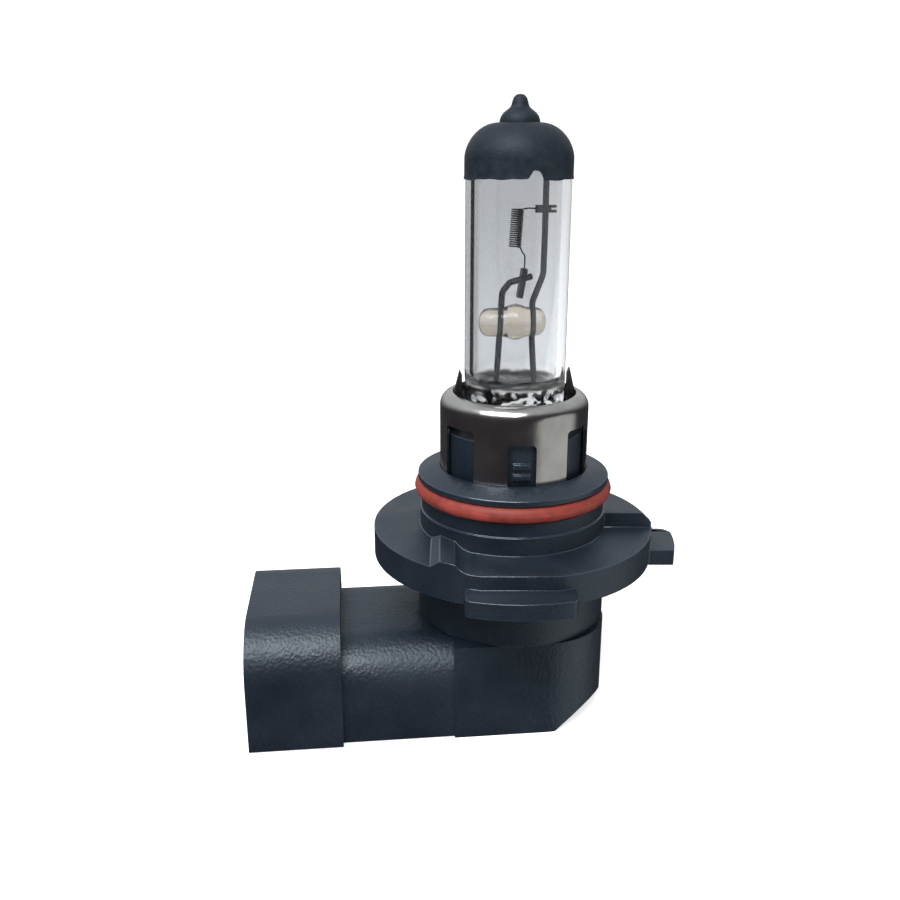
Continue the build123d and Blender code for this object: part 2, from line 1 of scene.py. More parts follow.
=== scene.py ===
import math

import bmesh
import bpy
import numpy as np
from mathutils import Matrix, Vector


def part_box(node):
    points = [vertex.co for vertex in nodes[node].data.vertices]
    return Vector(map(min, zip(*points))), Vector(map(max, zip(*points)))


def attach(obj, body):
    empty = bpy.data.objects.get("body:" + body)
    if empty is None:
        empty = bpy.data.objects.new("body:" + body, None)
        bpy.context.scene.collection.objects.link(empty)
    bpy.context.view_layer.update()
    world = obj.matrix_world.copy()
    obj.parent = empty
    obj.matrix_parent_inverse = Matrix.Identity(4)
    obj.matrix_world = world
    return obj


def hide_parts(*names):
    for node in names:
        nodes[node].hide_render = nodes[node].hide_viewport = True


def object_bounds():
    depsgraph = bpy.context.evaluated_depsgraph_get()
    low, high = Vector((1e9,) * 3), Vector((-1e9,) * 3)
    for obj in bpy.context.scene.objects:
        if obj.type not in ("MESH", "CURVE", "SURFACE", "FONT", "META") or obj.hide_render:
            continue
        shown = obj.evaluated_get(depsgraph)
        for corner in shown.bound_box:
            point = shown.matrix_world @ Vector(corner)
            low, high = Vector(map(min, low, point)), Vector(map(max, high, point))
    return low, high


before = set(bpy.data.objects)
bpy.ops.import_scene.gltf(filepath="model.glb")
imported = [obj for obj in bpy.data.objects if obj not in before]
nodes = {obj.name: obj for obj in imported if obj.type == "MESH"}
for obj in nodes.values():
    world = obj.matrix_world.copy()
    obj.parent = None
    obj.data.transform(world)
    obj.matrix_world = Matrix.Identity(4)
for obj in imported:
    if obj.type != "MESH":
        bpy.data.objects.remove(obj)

# %% [markdown]
# # A halogen headlight bulb
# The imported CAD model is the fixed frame: it says where each piece of the bulb sits and how big
# it is. Blender adds what solid modelling leaves out: blown and pinched glass, a dipped coating,
# drawn wire, a base with tiny edge rounds, and the grain and marks of plastic and sheet metal.
# Everything is in metres, with the lamp axis upright through the origin.

cad_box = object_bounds()
mm = 0.001
scene = bpy.context.scene
print("CAD box in mm:", [[round(v / mm, 2) for v in corner] for corner in cad_box])

# %% [markdown]
# ## From arrays to meshes
# Every new piece is a grid of points worked out with numpy. One row of the grid is a closed ring,
# and the rows follow each other along the piece. A ring of no size closes an end, and its doubled
# points are merged afterwards, so poles and seams are shut. This keeps each shape a short formula.

# %% A grid of rings becomes a closed shell

same_point = 1e-7                        # points nearer than this are one point


def ring_faces(rows, columns):
    """Quads of a grid whose rows are closed rings: each point, its neighbour, and the same two
    one row further on."""
    i = np.arange(rows - 1)[:, None]
    j = np.arange(columns)[None, :]
    k = (j + 1) % columns
    corners = [i * columns + j, i * columns + k, (i + 1) * columns + k, (i + 1) * columns + j]
    return np.stack(np.broadcast_arrays(*corners), -1).reshape(-1, 4)


def smooth_but_sharp_past(mesh, degrees):
    """Every face is shaded smooth, with a crease where two faces meet at more than that angle."""
    mesh.polygons.foreach_set("use_smooth", np.ones(len(mesh.polygons), bool))
    mesh.set_sharp_from_angle(angle=math.radians(degrees))


def make_piece(name, shells, hollows=(), smooth_angle=50):
    """One object from several closed shells. Doubled points are merged and faces turned
    outwards; a hollow is a shell inside glass, whose faces point into the cavity instead."""
    build = bmesh.new()
    for grid, inside_out in [(s, False) for s in shells] + [(h, True) for h in hollows]:
        rows, columns = grid.shape[:2]
        part = bpy.data.meshes.new("part")
        part.from_pydata(grid.reshape(-1, 3).tolist(), [], ring_faces(rows, columns).tolist())
        first_vertex, first_face = len(build.verts), len(build.faces)
        build.from_mesh(part)
        bpy.data.meshes.remove(part)
        build.verts.ensure_lookup_table()
        bmesh.ops.remove_doubles(build, verts=build.verts[first_vertex:], dist=same_point)
        build.faces.ensure_lookup_table()
        shell_faces = build.faces[first_face:]
        bmesh.ops.recalc_face_normals(build, faces=shell_faces)
        if inside_out:
            bmesh.ops.reverse_faces(build, faces=shell_faces)
    mesh = bpy.data.meshes.new(name)
    build.to_mesh(mesh)
    build.free()
    smooth_but_sharp_past(mesh, smooth_angle)
    piece = bpy.data.objects.new(name, mesh)
    scene.collection.objects.link(piece)
    return piece


def settle(piece, replaced, slot, *materials):
    """The piece stands for its CAD node, moves with the body and takes its finish."""
    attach(piece, "root")
    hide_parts(replaced)
    piece.data.materials.clear()
    for material in materials:
        piece.data.materials.append(material)
    print(f"{piece.name}: {len(piece.data.vertices)} points, {len(piece.data.polygons)} faces")


# %% [markdown]
# ## Curves that the shapes are drawn with
# Real wire and real mouldings have no sharp corners. A run of straight lines with an arc at each
# corner is enough for nearly everything here: a wire's route, a turned profile, a cavity.

# %% Rounded lines, turned shapes and tubes

dome_reach = 0.6                         # a tube's domed end stands out by this share of its radius


def around(count):
    """That many angles, evenly spaced round a full circle."""
    return np.linspace(0, 2 * math.pi, count, endpoint=False)


def rounded(corners, radii, steps=8):
    """Straight lines with an arc at each inner corner. The arc meets both lines at radius /
    tan(half the angle between them) from the corner, and its points turn evenly about its
    centre."""
    corners = np.asarray(corners, float)
    radii = np.broadcast_to(np.asarray(radii, float), len(corners) - 2)[:, None]
    here = corners[1:-1]
    back = corners[:-2] - here
    on = corners[2:] - here
    back /= np.linalg.norm(back, axis=1, keepdims=True)
    on /= np.linalg.norm(on, axis=1, keepdims=True)
    half = np.arccos(np.clip((back * on).sum(1, keepdims=True), -1, 1)) / 2
    middle = (back + on) / np.maximum(np.linalg.norm(back + on, axis=1, keepdims=True), 1e-9)
    centre = here + middle * radii / np.sin(half)
    start = here + back * radii / np.tan(half) - centre
    end = here + on * radii / np.tan(half) - centre
    turn = np.maximum(math.pi - 2 * half, 1e-6)[:, None, :]
    t = np.linspace(0, 1, steps)[None, :, None]
    swing = (np.sin((1 - t) * turn) * start[:, None] + np.sin(t * turn) * end[:, None])
    arcs = centre[:, None] + swing / np.sin(turn)
    return np.vstack([corners[:1], arcs.reshape(-1, corners.shape[1]), corners[-1:]])


def evenly(path, step):
    """The same line with points about one step apart, measured along it."""
    pieces = np.linalg.norm(np.diff(path, axis=0), axis=1)
    length = np.concatenate([[0], np.cumsum(pieces)])
    wanted = np.linspace(0, length[-1], max(2, int(round(length[-1] / step)) + 1))
    return np.stack([np.interp(wanted, length, path[:, i]) for i in range(path.shape[1])], 1)


def turned(profile, turns=128):
    """A profile of (radius, height) carried round the lamp axis: x = r cos a, y = r sin a and
    z = height, for every angle a."""
    angle = around(turns)[None, :]
    r, z = profile[:, :1], profile[:, 1:]
    return np.stack([r * np.cos(angle), r * np.sin(angle), z + 0 * angle], -1)


def tube(path, radius, across, sides=20):
    """A circle carried along a path. It lies in the plane of two directions square to the path:
    the path's direction crossed with across, and that crossed with the path again. Its ends are
    domed."""
    ahead = np.gradient(path, axis=0)
    ahead /= np.linalg.norm(ahead, axis=1, keepdims=True)
    first = np.cross(ahead, across)
    first /= np.linalg.norm(first, axis=1, keepdims=True)
    second = np.cross(first, ahead)
    dome = np.linspace(0, math.pi / 2, 5)
    start = path[0] - ahead[0] * radius * dome_reach * np.cos(dome)[:, None]
    end = path[-1] + ahead[-1] * radius * dome_reach * np.sin(dome)[:, None]
    centre = np.vstack([start, path[1:-1], end])
    size = np.concatenate([radius * np.sin(dome), np.full(len(path) - 2, radius),
                           radius * np.cos(dome)])
    pad = len(dome) - 1
    first = np.vstack([np.repeat(first[:1], pad, 0), first, np.repeat(first[-1:], pad, 0)])
    second = np.vstack([np.repeat(second[:1], pad, 0), second, np.repeat(second[-1:], pad, 0)])
    angle = around(sides)[None, :, None]
    ring = np.cos(angle) * first[:, None] + np.sin(angle) * second[:, None]
    return centre[:, None] + ring * size[:, None, None]


def ease(x, low, high):
    """0 below low, 1 above high, and a smooth S between: t * t * (3 - 2 t)."""
    t = np.clip((x - low) / (high - low), 0, 1)
    return t * t * (3 - 2 * t)


# %% [markdown]
# ## Colour and node helpers
# Colours are written as the hex codes a designer would use, and one function turns them into the
# linear values that light is worked out in. One other function adds a node, sets it and links it.
# Most finishes need the same three things of a pattern, so a third one joins it to the shader.

# %% Helpers for materials


def linear(code, alpha=1.0):
    """sRGB hex to linear light: c / 12.92 when dark, ((c + 0.055) / 1.055) ^ 2.4 otherwise."""
    c = np.array([int(code[i:i + 2], 16) for i in (1, 3, 5)]) / 255
    value = np.where(c <= 0.04045, c / 12.92, ((c + 0.055) / 1.055) ** 2.4)
    return (*value.tolist(), alpha)


def grey(value):
    """A grey of that linear brightness."""
    return (value, value, value, 1.0)


def add(tree, kind, inputs=None, stops=(), **settings):
    """A node with its settings. An input is a plain value or another node's output, and stops
    are a ramp's colours as (place, colour)."""
    made = tree.nodes.new("ShaderNode" + kind)
    for key, value in settings.items():
        setattr(made, key, value)
    for key, value in (inputs or {}).items():
        if isinstance(value, bpy.types.NodeSocket):
            tree.links.new(value, made.inputs[key])
        else:
            made.inputs[key].default_value = value
    if stops:
        band = made.color_ramp
        while len(band.elements) < len(stops):
            band.elements.new(1.0)
        for element, (place, colour) in zip(band.elements, stops):
            element.position = place
            element.color = colour
    return made


def new_material(name, **sockets):
    """A material with one Principled shader, whose even values sit on its own sockets."""
    material = bpy.data.materials.new(name)
    material.use_nodes = True
    shader = material.node_tree.nodes["Principled BSDF"]
    for key, value in sockets.items():
        shader.inputs[key.replace("_", " ")].default_value = value
    print("material:", name)
    return material, material.node_tree, shader


def dress(tree, shader, tone, colours, shine, roughness, span=(0.0, 1.0), marks=None):
    """Joins patterns to a shader. The tone runs between two colours, and the shine's span
    between two roughnesses. Marks are a height pattern, its strength and its depth in
    millimetres."""
    colour = add(tree, "ValToRGB", {"Fac": tone}, stops=[(at, linear(c)) for at, c in colours])
    tree.links.new(colour.outputs["Color"], shader.inputs["Base Color"])
    rough = add(tree, "MapRange", {"Value": shine, "From Min": span[0], "From Max": span[1],
                                   "To Min": roughness[0], "To Max": roughness[1]})
    tree.links.new(rough.outputs["Result"], shader.inputs["Roughness"])
    if marks:
        height, strength, depth = marks
        bump = add(tree, "Bump", {"Height": height, "Strength": strength, "Distance": depth * mm})
        tree.links.new(bump.outputs["Normal"], shader.inputs["Normal"])


# %% [markdown]
# ## The plastic of the base
# The base and the connector are injection moulded in black glass-filled nylon. The mould is spark
# eroded, which leaves a fine even grain of about 0.2 mm and a broad soft shine. It could be an
# image texture, but noise on Object coordinates has no seams and keeps its real size on every face.
# Handling rubs the edges, so they get a nylon that is glossier and slightly lighter. The lighter
# colour is partly that wear and partly a painted highlight along the edges.

# %% Black moulded nylon

flow_size = 6 * mm                       # how far the colour and shine wander as the melt flowed


def moulded_nylon(name, dark, light, grain, depth, gloss, sheen=0.58):
    """Black moulding: grain and depth in millimetres, gloss the middle of its roughness."""
    material, tree, shader = new_material(name, Specular_IOR_Level=sheen, IOR=1.53,
                                          Specular_Tint=linear("#e9f6ff"))
    place = add(tree, "TexCoord").outputs["Object"]
    fine = add(tree, "TexNoise", {"Vector": place, "Scale": 1 / (grain * mm), "Detail": 3.0,
                                  "Roughness": 0.6})
    coarse = add(tree, "TexNoise", {"Vector": place, "Scale": 1 / flow_size, "Detail": 4.0,
                                    "Roughness": 0.5}).outputs["Fac"]
    pits = add(tree, "TexVoronoi", {"Vector": place, "Scale": 1 / (1.6 * grain * mm)})
    tone = add(tree, "Math", {0: coarse, 1: fine.outputs["Fac"]}, operation="MULTIPLY")
    height = add(tree, "Math", {0: fine.outputs["Fac"], 1: pits.outputs["Distance"]},
                 operation="ADD")
    dress(tree, shader, tone.outputs[0], [(0.12, dark), (0.45, light)], coarse,
          (gloss - 0.07, gloss + 0.08), span=(0.3, 0.7), marks=(height.outputs[0], 0.6, depth))
    return material


base_nylon = moulded_nylon("moulded nylon, base", "#0a121b", "#131e2a", 0.20, 0.03, 0.46)
connector_nylon = moulded_nylon("moulded nylon, connector", "#0b131c", "#15202d", 0.26, 0.06, 0.44)
# the edges' lighter colour is partly rubbed wear and partly a painted highlight
edge_nylon_painted_highlight = moulded_nylon("moulded nylon, rubbed edges", "#18212b", "#26313e", 0.4, 0.01, 0.18,
                           sheen=0.8)

# %% [markdown]
# ## Glass
# The capsule is hard clear glass, modelled as a real wall with an outer and an inner surface, so
# its edges bend light as the real ones do. It has a thin neutral tint, with a painted grey
# reflection over its left part that is darker still at the left wall, and it is clearer over the
# right half. The jaws that pinched its foot left that frosted.

# %% Hard glass of the capsule

painted_reflection_slope = -0.112                    # the right border of the painted grey reflection leans by this much with height
painted_reflection_from, painted_reflection_to = 0.05 * mm, 0.45 * mm
# where the painted darker reflection fades in towards the glass's left wall
painted_dark_edge_from, painted_dark_edge_to = -4.7 * mm, -5.1 * mm
frost_from, frost_to = 16.0 * mm, 18.0 * mm

capsule_glass, tree, shader = new_material("hard glass, capsule", Roughness=0.0, IOR=1.49,
                                           Transmission_Weight=1.0)
place = add(tree, "TexCoord").outputs["Object"]
axes = add(tree, "SeparateXYZ", {"Vector": place})
# painted reflection: the glass is painted grey on its left part and clearer to the right of a
# sloping border
sloping = add(tree, "Math", {0: axes.outputs["Z"], 1: painted_reflection_slope, 2: axes.outputs["X"]},
              operation="MULTIPLY_ADD")
clear = add(tree, "MapRange", {"Value": sloping.outputs[0], "From Min": painted_reflection_from,
                               "From Max": painted_reflection_to})
# painted reflection: the left wall of the glass is painted a darker grey
painted_dark_edge = add(tree, "MapRange", {"Value": axes.outputs["X"], "From Min": painted_dark_edge_from,
                                   "From Max": painted_dark_edge_to})
painted_dark_reflection = add(tree, "MixRGB", {"Fac": painted_dark_edge.outputs["Result"], "Color1": linear("#cfd1d3"),
                              "Color2": linear("#adb0b3")})
tint = add(tree, "MixRGB", {"Fac": clear.outputs["Result"], "Color1": painted_dark_reflection.outputs[0],
                            "Color2": linear("#e0e2e4")})
tree.links.new(tint.outputs[0], shader.inputs["Base Color"])
up_the_foot = add(tree, "MapRange", {"Value": axes.outputs["Z"], "From Min": frost_from,
                                     "From Max": frost_to}).outputs["Result"]
frosted = add(tree, "ValToRGB", {"Fac": up_the_foot},
              stops=[(0.0, grey(0.12)), (0.4, grey(0.12)), (0.55, grey(0.34)), (0.8, grey(0.34)),
                     (0.95, grey(0.0))])
tree.links.new(frosted.outputs["Color"], shader.inputs["Roughness"])

# %% [markdown]
# ## The bridge's glass
# The bridge is a softer, pressed glass, faintly cloudy and warm. Its outline is painted dark brown
# in its colour, a painted shade standing for the light that a thick rounded rod bends away where it
# is grazed. Layer Weight finds that outline.

# %% Pressed glass of the bridge

cloud_size = 1.4 * mm

bead_glass, tree, shader = new_material("pressed glass, bridge", Roughness=0.04, IOR=1.5,
                                        Transmission_Weight=1.0)
place = add(tree, "TexCoord").outputs["Object"]
cloud = add(tree, "TexNoise", {"Vector": place, "Scale": 1 / cloud_size, "Detail": 3.0})
body_tint = add(tree, "ValToRGB", {"Fac": cloud.outputs["Fac"]},
                stops=[(0.3, linear("#f0dfc8")), (0.7, linear("#fbf4e8"))])
# painted shade: the bead's colour turns dark brown towards its outline
facing = add(tree, "LayerWeight", {"Blend": 0.5}).outputs["Facing"]
outline = add(tree, "MapRange", {"Value": facing, "From Min": 0.5, "From Max": 0.92})
tint_with_painted_dark_rim = add(tree, "MixRGB", {"Fac": outline.outputs["Result"],
                              "Color1": body_tint.outputs["Color"], "Color2": linear("#4a4239")})
tree.links.new(tint_with_painted_dark_rim.outputs[0], shader.inputs["Base Color"])

# %% [markdown]
# ## Metals
# Tungsten and molybdenum come dark grey from drawing and firing. The holder is deep-drawn steel,
# nickel plated to a mirror that still shows the drawing's long shallow waves. All of them are one
# recipe with other colours and sizes: a slow noise that changes colour, shine and height together.

# %% Wire, foil, strip and plate


def bare_metal(name, dark, light, roughness, scale, depth):
    """A metal whose colour and shine wander over scale millimetres, with marks depth
    millimetres deep. Its roughness runs from 0.6 to 1.4 of the middle value."""
    material, tree, shader = new_material(name, Metallic=1.0)
    place = add(tree, "TexCoord").outputs["Object"]
    wander = add(tree, "TexNoise", {"Vector": place, "Scale": 1 / (scale * mm),
                                    "Detail": 5.0}).outputs["Fac"]
    dress(tree, shader, wander, [(0.3, dark), (0.7, light)], wander,
          (roughness * 0.6, roughness * 1.4), marks=(wander, 0.5, depth))
    return material


tungsten = bare_metal("drawn tungsten", "#1d2024", "#34383e", 0.45, 0.3, 0.01)
molybdenum = bare_metal("fired molybdenum", "#1e2126", "#31353c", 0.4, 0.5, 0.02)
foil_metal = bare_metal("rolled molybdenum foil", "#8a8d92", "#a9abaf", 0.3, 0.4, 0.004)
clip_steel = bare_metal("rolled steel strip", "#6f6d6a", "#8b8986", 0.3, 1.2, 0.01)
nickel = bare_metal("nickel plate on drawn steel", "#9c9a97", "#b5b3b0", 0.22, 4.0, 0.12)
tinned = bare_metal("tinned brass", "#a9aaa6", "#c9c8c2", 0.28, 0.9, 0.006)

# %% [markdown]
# ## Rubber, coating and sealant
# The ring is silicone rubber, dull in patches. The end of the capsule is dipped in a ceramic glare
# coating, which dries matt and slightly lumpy. The sealant is a grey potting resin, poured soft and
# cured with a low sheen.

# %% Moulded silicone

dust_size = 1.8 * mm

silicone, tree, shader = new_material("silicone rubber", IOR=1.43, Subsurface_Weight=0.06,
                                      Subsurface_Scale=0.6 * mm)
place = add(tree, "TexCoord").outputs["Object"]
dust = add(tree, "TexNoise", {"Vector": place, "Scale": 1 / dust_size,
                              "Detail": 6.0}).outputs["Fac"]
dress(tree, shader, dust, [(0.35, "#6b261d"), (0.7, "#883329")], dust, (0.42, 0.7),
      marks=(dust, 0.3, 0.03))

# %% Dipped ceramic coating

lump_size, speck_size = 1.2 * mm, 0.15 * mm

coating, tree, shader = new_material("dipped ceramic coating", IOR=1.5, Specular_IOR_Level=0.3,
                                     Specular_Tint=linear("#e6f2ff"))
place = add(tree, "TexCoord").outputs["Object"]
lumps = add(tree, "TexNoise", {"Vector": place, "Scale": 1 / lump_size, "Detail": 6.0,
                               "Roughness": 0.6}).outputs["Fac"]
specks = add(tree, "TexNoise", {"Vector": place, "Scale": 1 / speck_size, "Detail": 2.0})
height = add(tree, "Math", {0: lumps, 1: specks.outputs["Fac"]}, operation="ADD")
dress(tree, shader, lumps, [(0.3, "#0f141b"), (0.75, "#1b222b")], lumps, (0.42, 0.7),
      marks=(height.outputs[0], 0.5, 0.06))

# %% Poured potting resin

swirl_size = 3 * mm

resin, tree, shader = new_material("potting resin", IOR=1.5)
place = add(tree, "TexCoord").outputs["Object"]
swirl = add(tree, "TexNoise", {"Vector": place, "Scale": 1 / swirl_size, "Detail": 4.0,
                               "Distortion": 0.6}).outputs["Fac"]
dress(tree, shader, swirl, [(0.35, "#2c3034"), (0.7, "#3b4044")], swirl, (0.3, 0.5))

# %% [markdown]
# ## The glass capsule
# A tube is blown to a round shoulder, drawn off to a small tip and pinched flat at its foot. Its
# outer surface is a stack of rings: circles up the tube, and rounded rectangles in the pinch.
# Where the hot glass was squeezed it stays crinkled, so the low rings get a few crossing waves.

# %% Capsule: sizes, end profile and crinkle

tube_low, tube_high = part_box("glass_envelope")
tube_r = tube_high.x
wall = 1.0 * mm
dome_r = 3.48 * mm                       # the shoulder's own radius
dome_z = tube_high.z - 6.28 * mm         # where the shoulder starts
dome_fullness = 1.12                     # a power just over 1 makes the shoulder a little flatter
pinch_half = (5.0 * mm, 1.6 * mm)        # half the pinch's width and thickness
pinch_top, neck_top = 12.8 * mm, 15.8 * mm
waves = [(1.0, 2.3, 1.1, 0.0), (1.0, -1.6, 2.7, 1.0), (0.8, 4.3, -1.6, 2.0),
         (0.5, 5.1, 3.9, 0.0), (0.35, -6.7, 4.4, 0.5)]
waves_height = 2.4


def capsule_end(grow):
    """Shoulder and tip as (radius, height), grown outwards: a quarter circle, then a small dome
    with a crease at its foot and a cone on top of it, from where the tube was drawn off."""
    a = np.linspace(0, math.pi / 2, 24)[:, None]
    inner = tube_r - dome_r
    top = dome_z + dome_r
    shoulder = np.hstack([inner + (dome_r + grow) * np.cos(a),
                          dome_z + (dome_r + grow) * np.sin(a) ** dome_fullness])
    tip = np.array([(2.02, 0.02), (1.98, 0.3), (1.84, 0.66), (1.58, 0.98), (1.22, 1.26),
                    (0.93, 1.48), (0.8, 1.72), (0.7, 2.1), (0.58, 2.42), (0.38, 2.66),
                    (0.18, 2.77), (0.0, 2.8)]) * mm
    tip = np.hstack([tip[:, :1] + grow * (tip[:, :1] > 0), tip[:, 1:] + top + grow])
    crease = [(inner - 0.1 * mm, top + grow)]
    return np.vstack([shoulder, crease, evenly(tip, 0.12 * mm)])


def crinkle(x, z):
    """Crossing waves of 0.8 to 3 mm, added up and scaled to about one. Each is weight times the
    sine of (a x + b z + phase)."""
    u, v = x / mm, z / mm
    return sum(w * np.sin(a * u + b * v + phase) for w, a, b, phase in waves) / waves_height


# %% Capsule: outer surface

squareness = 3.5                         # how square the pinch's corners are
face_ripple, edge_ripple = 0.12 * mm, 0.08 * mm
crinkled_top = neck_top + 2 * mm

side_z = np.concatenate([np.linspace(tube_low.z, pinch_top, 36),
                         np.linspace(pinch_top, crinkled_top, 30)[1:],
                         np.linspace(crinkled_top, dome_z, 12)[1:-1]])
outline = np.vstack([np.stack([np.full_like(side_z, tube_r), side_z], 1), capsule_end(0.0)])
angle = around(160)[None, :]
z = outline[:, 1:]
to_tube = ease(z, pinch_top - 0.5 * mm, neck_top + 0.6 * mm)
half_x = pinch_half[0] + (outline[:, :1] - pinch_half[0]) * to_tube
half_y = pinch_half[1] + (outline[:, :1] - pinch_half[1]) * to_tube
power = 2 / (2 + squareness * (1 - to_tube))
x = half_x * np.sign(np.cos(angle)) * np.abs(np.cos(angle)) ** power
y = half_y * np.sign(np.sin(angle)) * np.abs(np.sin(angle)) ** power
squeezed = ((1 - ease(z, neck_top, neck_top + 2.5 * mm))
            * ease(z, tube_low.z, tube_low.z + 1 * mm))
y = y + face_ripple * crinkle(x, z) * squeezed * np.sin(angle)
x = x - edge_ripple * (0.5 + 0.5 * crinkle(y, z)) * squeezed * np.cos(angle)
capsule_outside = np.stack([x, y, z + 0 * angle], -1)
foot = capsule_outside[:1] * [0, 0, 1]
capsule_outside = np.concatenate([foot, capsule_outside])

# %% Capsule: cavity

cavity_floor = 16.8 * mm
cavity_r = tube_r - wall
roof = dome_z + 2.3 * mm
floor_round, roof_round = 1.3 * mm, 2.9 * mm
floor_ripple = 0.13                      # in millimetres

cavity_line = rounded([(0, cavity_floor), (cavity_r, cavity_floor), (cavity_r, roof), (0, roof)],
                      [floor_round, roof_round], steps=16)
cavity = turned(evenly(cavity_line, 0.3 * mm), 160)
reach = np.hypot(cavity[..., 0], cavity[..., 1]) / cavity_r
low = 1 - ease(cavity[..., 2], cavity_floor, cavity_floor + 2.2 * mm)
cavity[..., 2] += (low * floor_ripple * mm * crinkle(0.7 * cavity[..., 0], cavity[..., 1])
                   * ease(reach, 0.0, 0.25))
capsule = make_piece("glass_capsule", [capsule_outside], hollows=[cavity])
settle(capsule, "glass_envelope", "clear_glass", capsule_glass)

# %% [markdown]
# ## The dipped coating
# The dip leaves a skin about 0.12 mm thick, a little thicker at its lower edge where it ran, with
# an edge that wanders and has two chips. It follows the glass, so it uses the same end profile.

# %% Coating

cap_low, cap_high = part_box("antiglare_cap")
coat = cap_high.x - tube_r
rim_z = cap_low.z
clearance = 0.01 * mm                    # between the glass and the skin
wanders = [(0.07, 3, 1.0), (0.05, 7, 0.0), (0.03, 17, 2.0)]      # height in mm, waves, phase
chips = [(0.85, -90 + 8.7, 6.5), (1.1, 61, 14)]                  # height in mm, place, half width
run_thickness, run_wander = 0.05 * mm, 0.02 * mm
turn = around(256)[None, :]

edge = sum(height * np.sin(count * turn + phase) for height, count, phase in wanders)
for height, place, half_width in chips:
    aside = np.angle(np.exp(1j * (turn - math.radians(place))))
    edge = edge + height * np.exp(-(aside / math.radians(half_width)) ** 4)
edge = edge * mm
skirt = np.linspace(0, 1, 14)[:, None]
skirt_z = rim_z + edge + skirt * (dome_z - rim_z - edge)
run = (run_thickness * np.exp(-(skirt * 9) ** 2)
       + run_wander * np.sin(5 * turn) * skirt * (1 - skirt))


def ring_at(radius, z):
    """Rings of that radius at those heights."""
    return np.stack([radius * np.cos(turn) + 0 * z, radius * np.sin(turn) + 0 * z, z], -1)


skirt_grid = ring_at(tube_r + coat + run, skirt_z)
lip = ring_at(tube_r + coat * 0.5, rim_z + edge - 0.04 * mm)
under_skirt = ring_at(tube_r + clearance, skirt_z)
under_end = turned(capsule_end(clearance)[1:], 256)
coating_grid = np.concatenate([under_end[::-1], under_skirt[::-1], lip, skirt_grid,
                               turned(capsule_end(coat)[1:], 256)])
coating_piece = make_piece("dipped_coating", [coating_grid], smooth_angle=70)
settle(coating_piece, "antiglare_cap", "antiglare_coating", coating)

# %% [markdown]
# ## The filament
# Drawn tungsten wire wound on a mandrel into an open coil. A helix is the simplest surface there
# is: a point that goes round while it climbs. Its two legs leave it for the clamps, so the whole
# filament is one path and one tube.

# %% Filament

coil_r, coil_wire = 0.62 * mm, 0.08 * mm
coil_turns, coil_height = 18, 4.086 * mm
coil_foot = np.array([-0.27, 0, 31.8]) * mm
points_a_turn = 28
lean = math.radians(3.5)
leg_step = 0.08 * mm

t = np.linspace(0, 1, coil_turns * points_a_turn + 1)
spin = 2 * math.pi * coil_turns * t
upright = np.stack([coil_r * np.cos(spin), coil_r * np.sin(spin), coil_height * t], 1)
lean_over = np.array([[math.cos(lean), 0, math.sin(lean)], [0, 1, 0],
                      [-math.sin(lean), 0, math.cos(lean)]])
turns = upright @ lean_over.T + coil_foot
clamp_low, clamp_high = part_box("upper_clamp")
grip_z = (clamp_low.z + clamp_high.z) / 2
top_leg = rounded([turns[-1], (1.2 * mm, 0, grip_z + 0.08 * mm), (2.4 * mm, 0, grip_z)], 0.5 * mm)
low_leg = rounded([(0.87 * mm, 0, 29.0 * mm), (0.87 * mm, 0, 30.9 * mm), (0.55 * mm, 0, 31.3 * mm),
                   turns[0]], [0.35 * mm, 0.3 * mm])
filament_path = np.vstack([evenly(low_leg, leg_step)[:-1], turns, evenly(top_leg, leg_step)[1:]])
filament_tube = tube(filament_path, coil_wire, (0.05, 0.02, 1.0), sides=12)
settle(make_piece("coil_filament", [filament_tube]), "filament", "tungsten", tungsten)

# %% [markdown]
# ## The support wires
# Stiff molybdenum wire, bent in one plane in a small jig. Each one comes up from the pinch, runs
# through the bridge and carries one end of the filament. The jig bends it with a fillet at each
# corner, so a route is its corners, as (x, z) in millimetres, and the fillets' radii.

# %% Support wires

wire_r = 0.35 * mm
routes = {
    "long_support_wire": ([(2.25, 12.0), (2.25, 16.4), (1.88, 21.5), (1.83, 25.9), (3.0, 28.9),
                           (3.05, 33.0), (3.05, 41.3)], [3, 3, 1.6, 1.6, 3]),
    "short_support_wire": ([(-2.1, 12.0), (-2.1, 16.4), (-1.82, 21.9), (-1.57, 27.0),
                            (-0.75, 28.05), (1.6, 28.65)], [3, 3, 0.9, 0.6]),
}
for wire_name, (route, bends) in routes.items():
    corners = np.array([(px, 0, pz) for px, pz in route]) * mm
    path = evenly(rounded(corners, np.array(bends) * mm), 0.25 * mm)
    rod_name = wire_name.replace("_wire", "_rod")
    wire = make_piece(rod_name, [tube(path, wire_r, (0, 1, 0), sides=24)])
    settle(wire, wire_name, "molybdenum", molybdenum)

# %% [markdown]
# ## The glass bridge
# A short rod of softer glass is melted round both wires to hold them apart. Melting rounds its
# ends and leaves a swelling in the middle. It is a turned shape about the X axis: radius against x.

# %% Bridge

bead_low, bead_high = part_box("bridge_bead")
bead_z = (bead_low.z + bead_high.z) / 2
bead_r = 1.58 * mm
end_round, end_fullness = 1.3 * mm, 2.4
swell, swell_x, swell_width = 0.42 * mm, -0.05 * mm, 0.95 * mm
flatness = 0.96                          # how much thinner the bead is front to back

